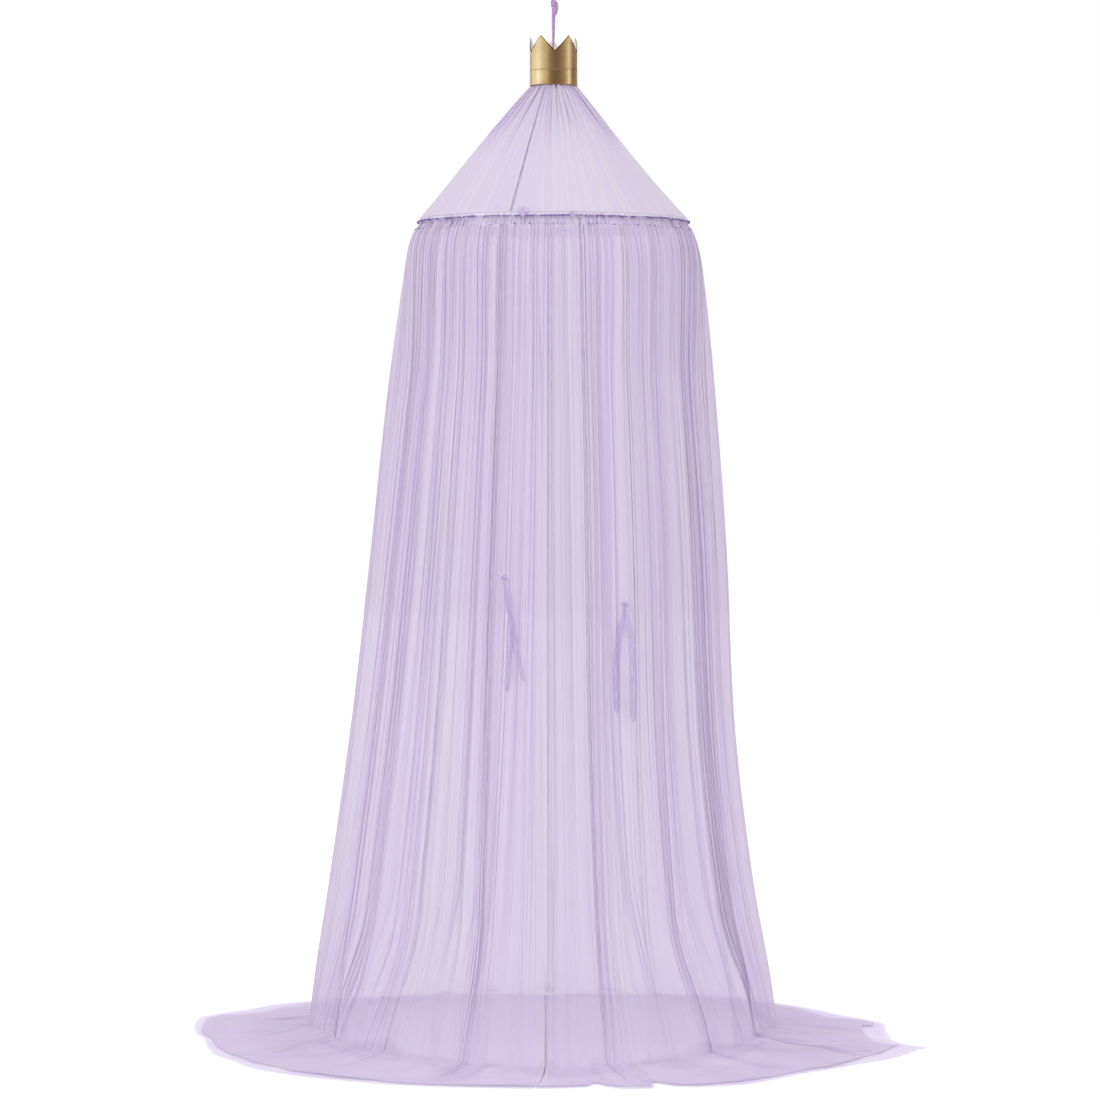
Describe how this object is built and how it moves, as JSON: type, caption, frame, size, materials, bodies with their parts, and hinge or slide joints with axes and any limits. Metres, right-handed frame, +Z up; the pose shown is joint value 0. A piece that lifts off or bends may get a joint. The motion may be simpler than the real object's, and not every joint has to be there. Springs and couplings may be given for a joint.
{
  "type": "bed crown canopy",
  "caption": "Hanging bed canopy: a metal crown on a ribbon over a pleated tulle cone, with a hoop and long curtains that open at the front and spread on the floor.",
  "frame": {"origin": "inside top of the hanging ring, where the ceiling hook bears", "axes": "+Z up along the ribbon, the curtain slit faces -Y, +X to the right of someone who faces the slit"},
  "size_m": [1.6649, 0.9659, 2.443],
  "materials": {
    "tulle": "fine sheer net",
    "satin": "satin ribbon",
    "brushed_gold": "brushed",
    "polished_gold": "polished",
    "hoop_plastic": "smooth"
  },
  "bodies": {
    "hanger": {"hanging_ring": "polished_gold", "ribbon_loop": "satin", "ribbon_knot": "satin"},
    "canopy": {"hanging_ribbon": "satin", "cone_cloth": "tulle", "neck_binding": "satin", "cone_seam": "tulle", "hoop": "hoop_plastic", "hoop_casing": "tulle", "hoop_tab_1": "satin", "hoop_tab_2": "satin", "skirt_back": "tulle", "skirt_left": "tulle", "skirt_right": "tulle"},
    "crown": {"crown_shell": "brushed_gold", "crown_collar": "polished_gold", "crown_disc": "polished_gold"},
    "left_curtain": {"curtain_left": "tulle", "left_tie_knot": "satin"},
    "right_curtain": {"curtain_right": "tulle", "right_tie_knot": "satin"},
    "left_tie": {"left_tie_strand_1": "satin", "left_tie_strand_2": "satin"},
    "right_tie": {"right_tie_strand_1": "satin", "right_tie_strand_2": "satin"}
  },
  "joints": [
    {"name": "swivel", "type": "hinge", "parent": "hanger", "child": "canopy", "pos_m": [0, 0, 0], "axis": [0, 0, 1], "range_deg": [-180, 180]},
    {"name": "crown_lift", "type": "slide", "parent": "canopy", "child": "crown", "axis": [0, 0, 1], "range_m": [0, 0.1]},
    {"name": "left_curtain_swing", "type": "hinge", "parent": "canopy", "child": "left_curtain", "pos_m": [-0.15, -0.303, -0.5873], "axis": [-1, 0, 0], "range_deg": [0, 12]},
    {"name": "right_curtain_swing", "type": "hinge", "parent": "canopy", "child": "right_curtain", "pos_m": [0.13, -0.303, -0.5873], "axis": [-1, 0, 0], "range_deg": [0, 12]},
    {"name": "left_tie_swing", "type": "hinge", "parent": "left_curtain", "child": "left_tie", "pos_m": [-0.107, -0.3286, -1.3603], "axis": [-1, 0, 0], "range_deg": [0, 40]},
    {"name": "right_tie_swing", "type": "hinge", "parent": "right_curtain", "child": "right_tie", "pos_m": [0.155, -0.3092, -1.4195], "axis": [-1, 0, 0], "range_deg": [0, 40]}
  ]
}
